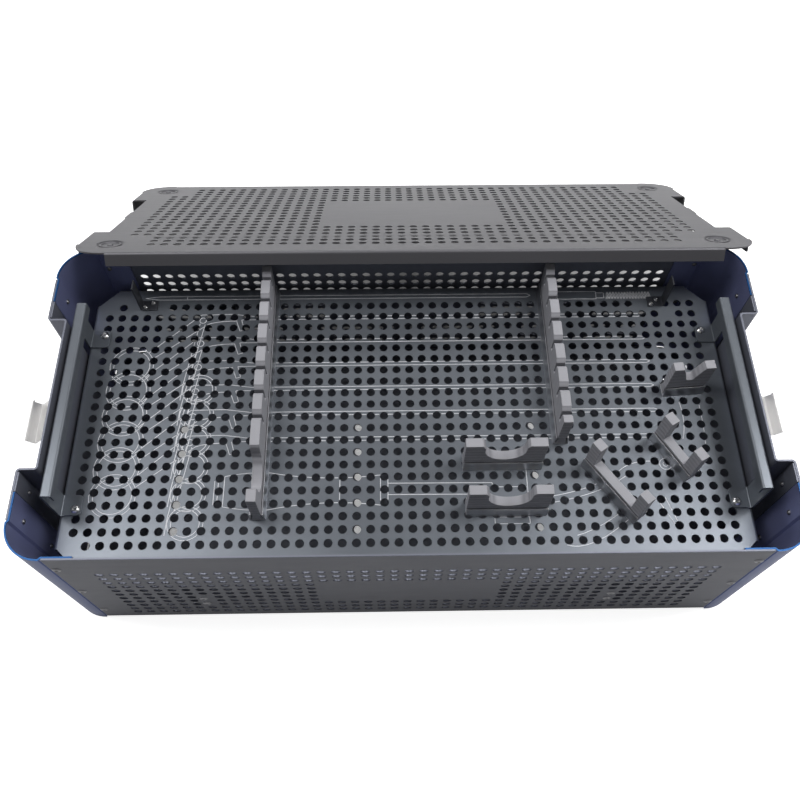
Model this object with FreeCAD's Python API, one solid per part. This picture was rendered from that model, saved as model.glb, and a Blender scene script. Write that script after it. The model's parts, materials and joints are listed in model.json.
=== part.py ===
import FreeCAD, Part
import math
import os

V = FreeCAD.Vector
os.makedirs("parts", exist_ok=True)

# Case: outside length, depth and height of the folded body
case_length = 530.0
case_depth = 248.0
case_height = 150.0
corner_radius = 25.5
pan_sheet = 1.5
corner_sheet = 1.2
sheet_bend = 2.5
seam_gap = 0.3
joggle_run = 1.5
joggle_land = 0.6

# Recess in each end, which leaves room for the latch and its lid ear on both sides
recess_depth = 13.0
recess_flank = 64.0
recess_bend = 1.2
lap_width = 20.0
stiffener_width = 14.0

# Tray that stands on four folded supports
rim_above_tray = 45.0
tray_end_gap = 2.0
tray_side_gap = 4.5
tray_sheet = 1.5
tray_lip = 20.0
tray_chamfer = 16.0
tray_bend = 1.0
support_offset = 152.0
support_width = 22.0
support_ledge = 12.0
support_leg = 54.0

# Tray handles: a folded sheet with two feet, a grip window and a turned-down lip
handle_height = 40.0
handle_half_length = 78.0
handle_top_width = 8.0
handle_lip = 8.0
handle_foot_width = 15.5
handle_foot_length = 15.5
handle_foot_round = 3.0
handle_window = (2.5, 27.0)
window_round = 6.0

# Combs and cradles: grey pads clipped into folded rails
pad_height = 36.0
pad_width = 7.0
slot_pitch = 20.0
slot_width = 2.6
slot_depth = 15.0
slot_mouth = 3.0
first_slot = 10.5
slot_count = 7
comb_rear_gap = 3.5
left_comb_x = -107.0
left_comb_length = 196.5
right_comb_x = 115.0
right_comb_length = 139.5
comb_cut_inset = 25.6
pad_cut_width = 29.2
pad_cut_floor = 14.0
pad_cut_round = 2.0
rail_half_width = 6.0
rail_height = 9.5
rail_sheet = 1.0
rail_clearance = 0.15

# Cradles: name, middle measured in from the tray's right end and front edge, length, cut kind,
# cut width, height of the cut's floor, and how each is turned
cradles = (
    ("cradle_middle", (178.5, 78.0), 58.0, "round", 29.2, 14.0),
    ("cradle_front", (178.0, 42.5), 58.0, "round", 30.0, 14.0),
    ("cradle_slant", (99.5, 55.8), 56.4, "square", 39.0, 12.0),
    ("cradle_corner", (51.3, 81.4), 41.0, "square", 23.0, 12.0),
    ("cradle_narrow", (35.5, 138.6), 31.0, "vee", 12.0, 20.0),
)
cradle_angles = (0.0, 0.0, -55.1, -60.0, 4.0)

# Upright clips at the back of the tray, measured in from its end and its rear edge
clip_inset = (36.0, 12.0)
clip_foot = 13.5
clip_width = 9.0
clip_height = 30.0

# Latches: hinge line, plate and hook, drawn closed and turned out to where they hang
latch_hinge_drop = 29.0
latch_hinge_reach = 4.5
latch_width = 33.0
latch_sheet = 1.2
latch_tongue = 11.0
latch_hang_angle = 135.0
latch_set_out = 0.8
latch_lip = 8.2
latch_curl = 2.2
latch_lid_gap = 0.3
knuckle_gap = 0.4
pin_radius = 1.5
pin_clearance = 0.05
knuckle_wall = 1.25
leaf_drop = 20.0
leaf_rise = 5.0
leaf_stop = 7.0
latch_stop_gap = 0.1

# Lid, and how it leans over the rear rim with its far edge on the table
lid_sheet = 1.2
lid_clearance = 0.4
lid_flange = 10.5
lid_corner_radius = 26.0
lid_bend = 1.0
lid_tab_width = 24.0
lid_tab_reach = 1.5
dimple_inset = 26.0
dimple_radius = 11.0
dimple_floor_radius = 9.0
dimple_depth = 1.6
lean_overhang = 14.0
lean_shift = 9.5
lean_gap = 0.3

# Openings that stand for the fine perforation of the tray and the lid, with its share of open metal.
# The outermost ones lie this far in from the edges; the columns and rows are those on each side
opening_side_share = 0.576
opening_columns = 5
opening_rows = 2
tray_opening_inset = (38.5, 34.0)
lid_opening_inset = (56.6, 41.6)

# Levels and half sizes that follow from the sizes above
half_length = case_length / 2
half_depth = case_depth / 2
recess_half_width = half_depth - recess_flank
corner_centre_x = half_length - corner_radius
corner_centre_y = half_depth - corner_radius
lap_grip = pan_sheet + corner_sheet
end_face = half_length - recess_depth
tray_floor_height = case_height - rim_above_tray
tray_lip_bottom = tray_floor_height - tray_lip
tray_length = 2 * (end_face - pan_sheet - tray_end_gap)
tray_depth = 2 * (half_depth - pan_sheet - tray_side_gap)
comb_rear = tray_depth / 2 - comb_rear_gap
latch_hinge_height = case_height - latch_hinge_drop
seam_setback = joggle_land + joggle_run + seam_gap
pan_half_length = corner_centre_x - seam_setback
end_wall_reach = corner_centre_y - seam_setback
stiffener_middle = recess_half_width + pan_sheet / 2 + recess_bend + stiffener_width / 2


def place(plane, u, v, w=0.0):
    """Point (u, v) of a drawing plane, at distance w along the plane's normal."""
    return {"xy": V(u, v, w), "xz": V(u, w, v), "yz": V(w, u, v)}[plane]


def normal(plane):
    return {"xy": V(0, 0, 1), "xz": V(0, 1, 0), "yz": V(1, 0, 0)}[plane]


def bend_at(before, at, after, radius):
    """Start, centre and end of a fillet on a corner of a drawn line, and the side it turns to."""
    a = (at - before).normalize()
    b = (after - at).normalize()
    turn = a.x * b.y - a.y * b.x
    reach = radius * math.tan(math.acos(max(-1.0, min(1.0, a.dot(b)))) / 2)
    side = 1.0 if turn > 0 else -1.0
    start = at - a * reach
    centre = start + V(-a.y, a.x, 0) * (side * radius)
    return a, b, start, centre, at + b * reach, side


def add_line(edges, plane, w, first, last):
    if (last - first).Length > 1e-6:
        edges.append(Part.makeLine(place(plane, first.x, first.y, w), place(plane, last.x, last.y, w)))


def add_arc(edges, plane, w, first, middle, last):
    points = [place(plane, p.x, p.y, w) for p in (first, middle, last)]
    edges.append(Part.Arc(*points).toShape())


def sheet(points, thickness, bends, plane, start, length):
    """Folded sheet: a middle line with an inner bend radius at each inner corner, drawn out."""
    line = [V(u, v, 0) for u, v in points]
    half = thickness / 2
    edges = []
    for side in (1.0, -1.0):
        direction = (line[1] - line[0]).normalize()
        here = line[0] + V(-direction.y, direction.x, 0) * (side * half)
        add_line(edges, plane, start, line[0], here)
        for i in range(1, len(line) - 1):
            radius = bends[i - 1] + half if bends[i - 1] else 0.0
            a, b, begin, centre, end, turn = bend_at(line[i - 1], line[i], line[i + 1], radius)
            left_a, left_b = V(-a.y, a.x, 0), V(-b.y, b.x, 0)
            if radius:
                enter, leave = begin + left_a * (side * half), end + left_b * (side * half)
                middle = centre + (line[i] - centre).normalize() * (radius - turn * side * half)
                add_line(edges, plane, start, here, enter)
                add_arc(edges, plane, start, enter, middle, leave)
                here = leave
            else:
                mitre = line[i] + (left_a + left_b) * (side * half / (1 + left_a.dot(left_b)))
                add_line(edges, plane, start, here, mitre)
                here = mitre
        direction = (line[-1] - line[-2]).normalize()
        last = line[-1] + V(-direction.y, direction.x, 0) * (side * half)
        add_line(edges, plane, start, here, last)
        add_line(edges, plane, start, last, line[-1])
    face = Part.Face(Part.Wire(Part.__sortEdges__(edges)))
    return face.extrude(normal(plane) * length)


def plate(points, rounds, plane, start, length):
    """Flat plate with a closed outline; rounds gives the radius at each corner, or one for all."""
    line = [V(u, v, 0) for u, v in points]
    radii = rounds if isinstance(rounds, (list, tuple)) else [rounds] * len(line)
    edges, first, here = [], None, None
    for i, corner in enumerate(line):
        enter = leave = corner
        if radii[i]:
            a, b, enter, centre, leave, turn = bend_at(line[i - 1], corner, line[(i + 1) % len(line)], radii[i])
            middle = centre + (corner - centre).normalize() * radii[i]
        if here is None:
            first = enter
        else:
            add_line(edges, plane, start, here, enter)
        if radii[i]:
            add_arc(edges, plane, start, enter, middle, leave)
        here = leave
    add_line(edges, plane, start, here, first)
    return Part.Face(Part.Wire(edges)).extrude(normal(plane) * length)


def box(x0, x1, y0, y1, z0, z1):
    return Part.makeBox(x1 - x0, y1 - y0, z1 - z0, V(x0, y0, z0))


def opening_grid(reach_x, reach_y, low, high, left_out):
    """Rectangular cutters on a grid centred on the origin, apart from the places left out."""
    pitch_x, pitch_y = reach_x / opening_columns, reach_y / opening_rows
    half_x, half_y = [pitch * opening_side_share / 2 for pitch in (pitch_x, pitch_y)]
    cutters = []
    for i in range(-opening_columns, opening_columns + 1):
        for j in range(-opening_rows, opening_rows + 1):
            if (abs(i), abs(j)) not in left_out:
                x, y = i * pitch_x, j * pitch_y
                cutters.append(box(x - half_x, x + half_x, y - half_y, y + half_y, low, high))
    return Part.makeCompound(cutters)


def join(shapes):
    shape = shapes[0]
    for other in shapes[1:]:
        shape = shape.fuse(other)
    return shape.removeSplitter()


def mirror_x(shape):
    return shape.mirror(V(0, 0, 0), V(1, 0, 0))


def mirror_y(shape):
    return shape.mirror(V(0, 0, 0), V(0, 1, 0))


def keep(name, shape):
    shape.exportStep("parts/" + name + ".step")


UP = V(0, 0, 1)


def base_pan():
    """Bottom with the front and rear walls folded up, and a flat end that fills each corner."""
    wall = half_depth - pan_sheet / 2
    floor = pan_sheet / 2
    folded = sheet([(-wall, case_height), (-wall, floor), (wall, floor), (wall, case_height)], pan_sheet,
                   [sheet_bend, sheet_bend], "yz", -pan_half_length, 2 * pan_half_length)
    side = half_depth - lap_grip - seam_gap
    lobe = half_length - lap_grip - seam_gap
    notch = end_face - pan_sheet - seam_gap
    step = recess_half_width + pan_sheet / 2 + seam_gap
    start = pan_half_length - 5.0
    round_off = corner_radius - lap_grip - seam_gap
    ends = plate([(start, -side), (lobe, -side), (lobe, -step), (notch, -step), (notch, step),
                  (lobe, step), (lobe, side), (start, side)],
                 [0, round_off, 0, 0, 0, 0, round_off, 0], "xy", 0.0, pan_sheet)
    tab = box(notch - pan_sheet, notch, -recess_half_width * 0.7, recess_half_width * 0.7,
              0.0, lap_width)
    return join([folded, ends, mirror_x(ends), tab, mirror_x(tab)])


def right_end_wall():
    """Upright end sheet, folded inward between its two outer lobes."""
    outer = half_length - pan_sheet / 2
    inner = end_face - pan_sheet / 2
    reach = end_wall_reach
    return sheet([(outer, -reach), (outer, -recess_half_width), (inner, -recess_half_width),
                  (inner, recess_half_width), (outer, recess_half_width), (outer, reach)],
                 pan_sheet, [recess_bend] * 4, "xy", 0.0, case_height)


def front_right_corner():
    """Round corner piece whose two laps step in behind the front wall and the end wall."""
    skin = corner_sheet / 2
    out_x, out_y = half_length - skin, -half_depth + skin
    in_x, in_y = half_length - pan_sheet - skin, -half_depth + pan_sheet + skin
    step_x, step_y = corner_centre_x - joggle_land, -corner_centre_y + joggle_land
    piece = sheet([(step_x - joggle_run - lap_width, in_y), (step_x - joggle_run, in_y), (step_x, out_y),
                   (out_x, out_y), (out_x, step_y), (in_x, step_y + joggle_run),
                   (in_x, step_y + joggle_run + lap_width)],
                  corner_sheet, [0, 0, corner_radius - corner_sheet, 0, 0], "xy", 0.0, case_height)
    fold = pan_sheet + sheet_bend + seam_gap
    return piece.cut(box(0, step_x - seam_gap / 2, -half_depth, 0, 0, fold))


def front_right_stiffener():
    face = half_length - pan_sheet
    return box(face - corner_sheet, face, -stiffener_middle - stiffener_width / 2,
               -stiffener_middle + stiffener_width / 2, pan_sheet + sheet_bend, case_height - seam_gap)


def front_right_support():
    """Folded bracket on the wall whose ledge carries the tray's lip."""
    leg = -half_depth + pan_sheet + corner_sheet / 2
    ledge = tray_lip_bottom - corner_sheet / 2
    return sheet([(leg + support_ledge, ledge), (leg, ledge), (leg, ledge - support_leg)],
                 corner_sheet, [corner_sheet], "yz", support_offset - support_width / 2, support_width)


def tray_floor():
    """Open floor with a lip folded down along each side."""
    half_x, half_y = tray_length / 2, tray_depth / 2
    level = tray_floor_height - tray_sheet / 2
    mid = tray_sheet / 2
    across = sheet([(-half_y + mid, tray_lip_bottom), (-half_y + mid, level), (half_y - mid, level),
                    (half_y - mid, tray_lip_bottom)], tray_sheet, [tray_bend, tray_bend], "yz",
                   -half_x + tray_chamfer, 2 * (half_x - tray_chamfer))
    along = sheet([(-half_x + mid, tray_lip_bottom), (-half_x + mid, level), (half_x - mid, level),
                   (half_x - mid, tray_lip_bottom)], tray_sheet, [tray_bend, tray_bend], "xz",
                  -half_y + tray_chamfer, 2 * (half_y - tray_chamfer))
    fill_x, fill_y = half_x - tray_sheet - tray_bend, half_y - tray_sheet - tray_bend
    cut = tray_chamfer - tray_sheet - tray_bend
    middle = plate([(-fill_x, -fill_y + cut), (-fill_x + cut, -fill_y), (fill_x - cut, -fill_y),
                    (fill_x, -fill_y + cut), (fill_x, fill_y - cut), (fill_x - cut, fill_y),
                    (-fill_x + cut, fill_y), (-fill_x, fill_y - cut)], 0, "xy",
                   tray_floor_height - tray_sheet, tray_sheet)
    openings = opening_grid(half_x - tray_opening_inset[0], half_y - tray_opening_inset[1],
                            tray_floor_height - 2 * tray_sheet, tray_floor_height + tray_sheet, [])
    return join([across, along, middle]).cut(openings)


def right_handle():
    """Handle folded from one sheet: feet on the floor, an upright with a window, a grip on top."""
    outer = tray_length / 2 - tray_sheet / 2
    foot = tray_floor_height + tray_sheet / 2
    top = tray_floor_height + handle_height - tray_sheet / 2
    inner = tray_length / 2 - handle_top_width + tray_sheet / 2
    folded = sheet([(tray_length / 2 - handle_foot_width, foot), (outer, foot), (outer, top), (inner, top),
                    (inner, top - handle_lip)], tray_sheet, [1.0, 0.3, 0.3], "xz",
                   -handle_half_length, 2 * handle_half_length)
    low, high = [tray_floor_height + h for h in handle_window]
    span = handle_half_length - handle_foot_length - 0.5
    window = plate([(-span, low), (span, low), (span, high), (-span, high)],
                   [0.5, 0.5, window_round, window_round], "yz", outer - 2 * tray_sheet, 4 * tray_sheet)
    between = box(inner - 2 * handle_foot_width, outer - tray_sheet / 2 - 0.2, -span, span,
                  tray_floor_height, tray_floor_height + 4.0)
    slit = box(inner - 2 * handle_foot_width, outer + tray_sheet, -span, span, tray_floor_height, low + 0.6)
    folded = folded.cut(window).cut(between).cut(slit)
    reach = handle_half_length + 5
    for sy in (-1, 1):
        edge = sy * (handle_half_length - 0.5)
        waste = box(inner - 2 * handle_foot_width, outer - 3.0, min(edge, sy * reach), max(edge, sy * reach),
                    tray_floor_height, tray_floor_height + 4.0)
        folded = folded.cut(waste)
    upright = [e for e in folded.Edges
               if e.Length < tray_sheet + 0.05 and abs(e.tangentAt(e.FirstParameter).z) > 0.9
               and abs(e.CenterOfMass.x - (tray_length / 2 - handle_foot_width)) < 0.1]
    return folded.makeFillet(handle_foot_round, upright)


def pad_section():
    """Section of a pad: straight above the rail, flared below so that the rail grips it."""
    base = tray_floor_height + rail_sheet + rail_clearance
    neck = tray_floor_height + rail_height
    slope = (rail_half_width - pad_width / 2 - rail_sheet / 2) / rail_height
    wide = rail_half_width - slope * rail_sheet - 1.6 * rail_sheet - rail_clearance
    narrow = wide - slope * (neck - base)
    half = pad_width / 2
    top = tray_floor_height + pad_height
    return [(-wide, base), (wide, base), (narrow, neck), (half, neck + rail_clearance), (half, top),
            (-half, top), (-half, neck + rail_clearance), (-narrow, neck)]


def pad_block(front, rear):
    """Plain pad along Y between two ends, centred on X = 0."""
    return plate(pad_section(), 0, "xz", front, rear - front)


def rail(front, rear):
    """Rail folded sharply, with sides that lean inward over the pad's foot."""
    top_half = pad_width / 2 + rail_sheet / 2 + rail_clearance
    base_half = rail_half_width - rail_sheet / 2
    bottom = tray_floor_height + rail_sheet / 2
    return sheet([(-top_half, tray_floor_height + rail_height), (-base_half, bottom), (base_half, bottom),
                  (top_half, tray_floor_height + rail_height)], rail_sheet, [0, 0], "xz",
                 front, rear - front)


def round_cut(centre, width, floor):
    """U-shaped cutter across a pad, drawn in the plane of the pad's length."""
    top = tray_floor_height + pad_height
    radius = width / 2
    low = tray_floor_height + floor
    body = plate([(centre - radius, top + 5), (centre - radius, low), (centre + radius, low),
                  (centre + radius, top + 5)], [0, radius - 0.01, radius - 0.01, 0], "yz",
                 -pad_width, 2 * pad_width)
    flare = plate([(centre - radius - pad_cut_round, top), (centre - radius, top - 2 * pad_cut_round),
                   (centre + radius, top - 2 * pad_cut_round), (centre + radius + pad_cut_round, top)],
                  0, "yz", -pad_width, 2 * pad_width)
    return body.fuse(flare)


def square_cut(centre, width, floor):
    low, top = tray_floor_height + floor, tray_floor_height + pad_height
    return plate([(centre - width / 2, top + 5), (centre - width / 2, low), (centre + width / 2, low),
                  (centre + width / 2, top + 5)], [0, 1.0, 1.0, 0], "yz", -pad_width, 2 * pad_width)


def vee_cut(centre, width, floor):
    low, top = tray_floor_height + floor, tray_floor_height + pad_height
    wide = width / 2 + pad_cut_round
    return plate([(centre - wide, top + 5), (centre - wide, top - 1), (centre - width / 2, top - 5),
                  (centre - 2.5, low), (centre + 2.5, low), (centre + width / 2, top - 5),
                  (centre + wide, top - 1), (centre + wide, top + 5)],
                 [0, 0, 2.0, 2.0, 2.0, 2.0, 0, 0], "yz", -pad_width, 2 * pad_width)


CUTS = {"round": round_cut, "square": square_cut, "vee": vee_cut}


def comb(length, with_cut):
    """Long pad with a row of shaft slots, and a wide cut near its front end when asked."""
    pad = pad_block(comb_rear - length, comb_rear)
    top = tray_floor_height + pad_height
    half = slot_width / 2
    for i in range(slot_count):
        y = comb_rear - first_slot - i * slot_pitch
        slot = plate([(y - half - slot_mouth, top), (y - half, top - slot_mouth), (y - half, top - slot_depth),
                      (y + half, top - slot_depth), (y + half, top - slot_mouth), (y + half + slot_mouth, top)],
                     0, "yz", -pad_width, 2 * pad_width)
        pad = pad.cut(slot)
    if with_cut:
        pad = pad.cut(round_cut(comb_rear - length + comb_cut_inset, pad_cut_width, pad_cut_floor))
    return pad


def set_down(shape, x, y, turn):
    """Turn a piece drawn along Y about the vertical, so that it runs along X at turn 0, and place it."""
    shape = shape.copy()
    shape.rotate(V(0, 0, 0), UP, turn - 90.0)
    shape.translate(V(x, y, 0))
    return shape


def right_clip():
    """Angle on the floor whose upright side keeps a long instrument from sliding out to the end."""
    outer = tray_length / 2 - clip_inset[0]
    middle = corner_sheet / 2
    return sheet([(outer - clip_foot, tray_floor_height + middle), (outer - middle, tray_floor_height + middle),
                  (outer - middle, tray_floor_height + clip_height)], corner_sheet, [0.8], "xz",
                 tray_depth / 2 - clip_inset[1] - clip_width, clip_width)


def right_leaf():
    """Fixed half of the latch hinge, with two knuckles and a stop that the open latch hangs on."""
    back = end_face
    pivot_x = end_face + latch_hinge_reach
    outer = pin_radius + pin_clearance + knuckle_wall
    half = latch_width / 2
    base = box(back, back + latch_sheet, -half, half, latch_hinge_height - leaf_drop,
               latch_hinge_height + leaf_rise)
    shapes = [base]
    inner = latch_tongue / 2 + knuckle_gap
    for y in (-half, inner):
        knuckle = Part.makeCylinder(outer, half - inner, V(pivot_x, y, latch_hinge_height), V(0, 1, 0))
        web = box(back, pivot_x, y, y + half - inner, latch_hinge_height + outer - latch_sheet,
                  latch_hinge_height + outer)
        shapes += [knuckle, web]
        stop = box(latch_set_out + latch_sheet / 2 + latch_stop_gap,
                   latch_set_out + 1.5 * latch_sheet + latch_stop_gap, y, y + half - inner, 0, leaf_stop)
        stop.rotate(V(0, 0, 0), V(0, 1, 0), latch_hang_angle)
        stop.translate(V(pivot_x, 0, latch_hinge_height))
        shapes.append(stop)
    bore = Part.makeCylinder(pin_radius + pin_clearance, latch_width + 2, V(pivot_x, -half - 1,
                             latch_hinge_height), V(0, 1, 0))
    return join(shapes).cut(bore)


def right_pin():
    head = Part.makeCylinder(pin_radius + 0.7, 0.8, V(0, -latch_width / 2 - 0.8, 0), V(0, 1, 0))
    shaft = Part.makeCylinder(pin_radius, latch_width + 0.6, V(0, -latch_width / 2, 0), V(0, 1, 0))
    pin = head.fuse(shaft)
    pin.translate(V(end_face + latch_hinge_reach, 0, latch_hinge_height))
    return pin


def right_latch():
    """Swinging plate with a hook that grips the lid, drawn upright and then turned out to hang."""
    outer = pin_radius + pin_clearance + knuckle_wall
    clear = outer + knuckle_gap
    plate_x = latch_set_out
    hook = case_height + lid_sheet + latch_lid_gap + latch_curl + latch_sheet / 2 - latch_hinge_height
    half = latch_width / 2
    body = sheet([(plate_x, clear), (plate_x, hook), (plate_x - latch_lip, hook),
                  (plate_x - latch_lip, hook - latch_curl - latch_sheet / 2)], latch_sheet, [0.8, 0.5], "xz",
                 -half, latch_width)
    tongue = box(plate_x - latch_sheet / 2, plate_x + latch_sheet / 2, -latch_tongue / 2, latch_tongue / 2,
                 0, clear + 1)
    ring = Part.makeCylinder(outer, latch_tongue, V(0, -latch_tongue / 2, 0), V(0, 1, 0))
    bore = Part.makeCylinder(pin_radius + pin_clearance, latch_width, V(0, -half, 0), V(0, 1, 0))
    latch = join([body, tongue, ring]).cut(bore)
    latch.rotate(V(0, 0, 0), V(0, 1, 0), latch_hang_angle)
    latch.translate(V(end_face + latch_hinge_reach, 0, latch_hinge_height))
    return latch


def lid():
    """Lid drawn flat with its top at height zero and its length along X."""
    half_x = half_length + lid_clearance + lid_sheet
    half_y = half_depth + lid_clearance + lid_sheet
    mid = lid_sheet / 2
    folded_half = corner_centre_x - joggle_run
    bend_width = lid_sheet + lid_bend
    across = sheet([(-half_y + mid, -lid_flange), (-half_y + mid, -mid), (half_y - mid, -mid),
                    (half_y - mid, -lid_flange)], lid_sheet, [lid_bend, lid_bend], "yz",
                   -folded_half, 2 * folded_half)
    notch = end_face + lid_clearance
    step = recess_half_width + 1.0
    lobe = half_x - bend_width
    arc_y = half_y - lid_corner_radius
    tab = lid_tab_width / 2
    outline = [(folded_half, -half_y), (half_x, -half_y), (half_x, -arc_y), (lobe, -arc_y), (lobe, -step),
               (notch, -step), (notch, -tab), (notch + lid_tab_reach, -tab + 2),
               (notch + lid_tab_reach, tab - 2), (notch, tab), (notch, step), (lobe, step), (lobe, arc_y),
               (half_x, arc_y), (half_x, half_y), (folded_half, half_y)]
    rounds = [0, lid_corner_radius - 0.01] + [0] * (len(outline) - 4) + [lid_corner_radius - 0.01, 0]
    end_plate = plate(outline, rounds, "xy", -lid_sheet, lid_sheet)
    ears = [sheet([(lobe - 1, -mid), (half_x - mid, -mid), (half_x - mid, -lid_flange)], lid_sheet,
                  [lid_bend], "xz", min(s * step, s * arc_y), arc_y - step) for s in (-1, 1)]
    half_shapes = [end_plate] + ears
    shape = join([across] + half_shapes + [mirror_x(s) for s in half_shapes])
    blank_and_corners = [(0, 0), (0, 1), (1, 0), (1, 1), (opening_columns, opening_rows)]
    shape = shape.cut(opening_grid(half_x - lid_opening_inset[0], half_y - lid_opening_inset[1],
                                   -2 * lid_sheet, lid_sheet, blank_and_corners))
    x, y = half_x - dimple_inset, half_y - dimple_inset
    for cx, cy in ((x, y), (x, -y), (-x, y), (-x, -y)):
        shape = shape.cut(Part.makeCylinder(dimple_radius, 3 * lid_sheet, V(cx, cy, -2 * lid_sheet)))
        rim_line = [(dimple_radius, 0), (dimple_floor_radius, -dimple_depth), (0, -dimple_depth),
                    (0, -dimple_depth - lid_sheet), (dimple_floor_radius + 0.6, -dimple_depth - lid_sheet),
                    (dimple_radius + 0.6, -lid_sheet), (dimple_radius + 0.6, 0)]
        ring = Part.makePolygon([V(r, 0, h) for r, h in rim_line + rim_line[:1]])
        cup = Part.Face(ring).revolve(V(0, 0, 0), V(0, 0, 1), 360)
        cup.translate(V(cx, cy, 0))
        shape = shape.fuse(cup)
    return shape.removeSplitter()


def leaning(shape):
    """Lay the lid against the rear rim with its far flange standing on the table."""
    half_y = half_depth + lid_clearance + lid_sheet
    span = 2 * half_y - lean_overhang
    drop = lid_flange - lid_sheet
    tilt = math.asin(case_height / math.hypot(span, drop)) - math.atan2(drop, span)
    shape = shape.copy()
    shape.translate(V(lean_shift, half_y - lean_overhang, lid_sheet))
    shape.rotate(V(0, 0, 0), V(1, 0, 0), -math.degrees(tilt))
    shape.translate(V(0, half_depth, case_height + lean_gap))
    return shape


# Case
keep("base_pan", base_pan())
keep("right_end_wall", right_end_wall())
keep("left_end_wall", mirror_x(right_end_wall()))
for name, piece in (("corner", front_right_corner()), ("stiffener", front_right_stiffener()),
                    ("tray_support", front_right_support())):
    keep("front_right_" + name, piece)
    keep("front_left_" + name, mirror_x(piece))
    keep("rear_right_" + name, mirror_y(piece))
    keep("rear_left_" + name, mirror_x(mirror_y(piece)))

# Tray
keep("tray_floor", tray_floor())
keep("right_handle", right_handle())
keep("left_handle", mirror_x(right_handle()))
keep("right_clip", right_clip())
keep("left_clip", mirror_x(right_clip()))
for name, x, length, with_cut in (("left_comb", left_comb_x, left_comb_length, True),
                                  ("right_comb", right_comb_x, right_comb_length, False)):
    keep(name + "_pad", set_down(comb(length, with_cut), x, 0, 90.0))
    keep(name + "_rail", set_down(rail(comb_rear - length, comb_rear), x, 0, 90.0))
for (name, inset, length, kind, width, floor), turn in zip(cradles, cradle_angles):
    block = pad_block(-length / 2, length / 2).cut(CUTS[kind](0.0, width, floor))
    x, y = tray_length / 2 - inset[0], inset[1] - tray_depth / 2
    keep(name + "_pad", set_down(block, x, y, turn))
    keep(name + "_rail", set_down(rail(-length / 2, length / 2), x, y, turn))

# Latches
for name, piece in (("leaf", right_leaf()), ("pin", right_pin()), ("latch", right_latch())):
    keep("right_" + name, piece)
    keep("left_" + name, mirror_x(piece))

# Lid
keep("lid", leaning(lid()))
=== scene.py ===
import json
import math

import bmesh
import bpy
from mathutils import Matrix, Vector


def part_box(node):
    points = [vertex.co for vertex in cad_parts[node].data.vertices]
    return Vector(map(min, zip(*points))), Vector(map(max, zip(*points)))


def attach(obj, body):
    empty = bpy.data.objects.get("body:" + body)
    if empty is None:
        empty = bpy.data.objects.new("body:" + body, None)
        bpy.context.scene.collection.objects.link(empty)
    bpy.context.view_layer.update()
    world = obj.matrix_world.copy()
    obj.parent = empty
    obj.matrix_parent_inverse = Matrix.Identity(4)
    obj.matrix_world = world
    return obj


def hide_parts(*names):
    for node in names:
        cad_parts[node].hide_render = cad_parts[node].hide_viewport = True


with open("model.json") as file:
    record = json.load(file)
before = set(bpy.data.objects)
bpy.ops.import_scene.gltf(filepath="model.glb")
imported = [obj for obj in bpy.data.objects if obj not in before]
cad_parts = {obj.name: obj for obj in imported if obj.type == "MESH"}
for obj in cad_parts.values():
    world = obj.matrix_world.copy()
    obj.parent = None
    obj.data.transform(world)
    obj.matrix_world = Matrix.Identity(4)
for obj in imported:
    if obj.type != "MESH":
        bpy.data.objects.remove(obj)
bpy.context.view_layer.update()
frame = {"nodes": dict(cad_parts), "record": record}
mm = 0.001
nodes = frame["nodes"]
bodyOf = {n: b for b, names in frame["record"]["behaviour"]["bodies"].items() for n in names}
slotOf = {p["node"]: p["material_slot"] for p in frame["record"]["subparts"]}


# Node trees written as Python expressions
class Wire:
    def __init__(self, tree, socket):
        self.tree = tree
        self.socket = socket

    def node(self, kind, settings=None, inputs=None, out=0):
        made = self.tree.nodes.new(kind)
        for name, value in (settings or {}).items():
            if name == "stops":  # positions and colours of a ramp
                ramp = made.color_ramp
                while len(ramp.elements) < len(value):
                    ramp.elements.new(0.5)
                for element, (at, colour) in zip(ramp.elements, value):
                    element.position = at
                    element.color = colour
            else:
                setattr(made, name, value)
        for name, value in (inputs or {}).items():
            for one in value if isinstance(value, list) else [value]:
                if isinstance(one, Wire):
                    self.tree.links.new(one.socket, made.inputs[name])
                else:
                    made.inputs[name].default_value = one
        return Wire(self.tree, made.outputs[out]) if made.outputs else None

    def other(self, out):  # another output of the same node
        return Wire(self.tree, self.socket.node.outputs[out])

    def math(self, operation, *values):
        return self.node("ShaderNodeMath", {"operation": operation}, dict(enumerate(values)))

    def __add__(self, o): return self.math("ADD", self, o)
    def __radd__(self, o): return self.math("ADD", o, self)
    def __sub__(self, o): return self.math("SUBTRACT", self, o)
    def __rsub__(self, o): return self.math("SUBTRACT", o, self)
    def __mul__(self, o): return self.math("MULTIPLY", self, o)
    def __truediv__(self, o): return self.math("DIVIDE", self, o)
    def __lt__(self, o): return self.math("LESS_THAN", self, o)
    def __gt__(self, o): return self.math("GREATER_THAN", self, o)
    def __abs__(self): return self.math("ABSOLUTE", self)


# Materials: each one reads Object coordinates, in metres
def startMaterial(name):
    material = bpy.data.materials.new(name)
    material.use_nodes = True
    material.node_tree.nodes.clear()
    place = Wire(material.node_tree, None).node("ShaderNodeTexCoord", out="Object")
    return material, place


def finishMaterial(place, **surface):
    inputs = {name.replace("_", " "): value for name, value in surface.items()}
    shader = place.node("ShaderNodeBsdfPrincipled", inputs=inputs)
    place.node("ShaderNodeOutputMaterial", inputs={"Surface": shader})


def stretched(place, x, y, z):
    return place.node("ShaderNodeMapping", inputs={"Vector": place, "Scale": (x, y, z)})


def noise(place, scale, detail=2.0, rough=0.5):
    return place.node("ShaderNodeTexNoise", {"noise_dimensions": "3D"},
                      {"Vector": place, "Scale": scale, "Detail": detail, "Roughness": rough})


def blend(place, amount, dark, light):
    inputs = {"Factor": amount, "A": dark, "B": light}
    return place.node("ShaderNodeMix", {"data_type": "RGBA"}, inputs, out=2)


def shade(colour, factor):
    return tuple(min(1.0, c * factor) for c in colour[:3]) + (1.0,)


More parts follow.
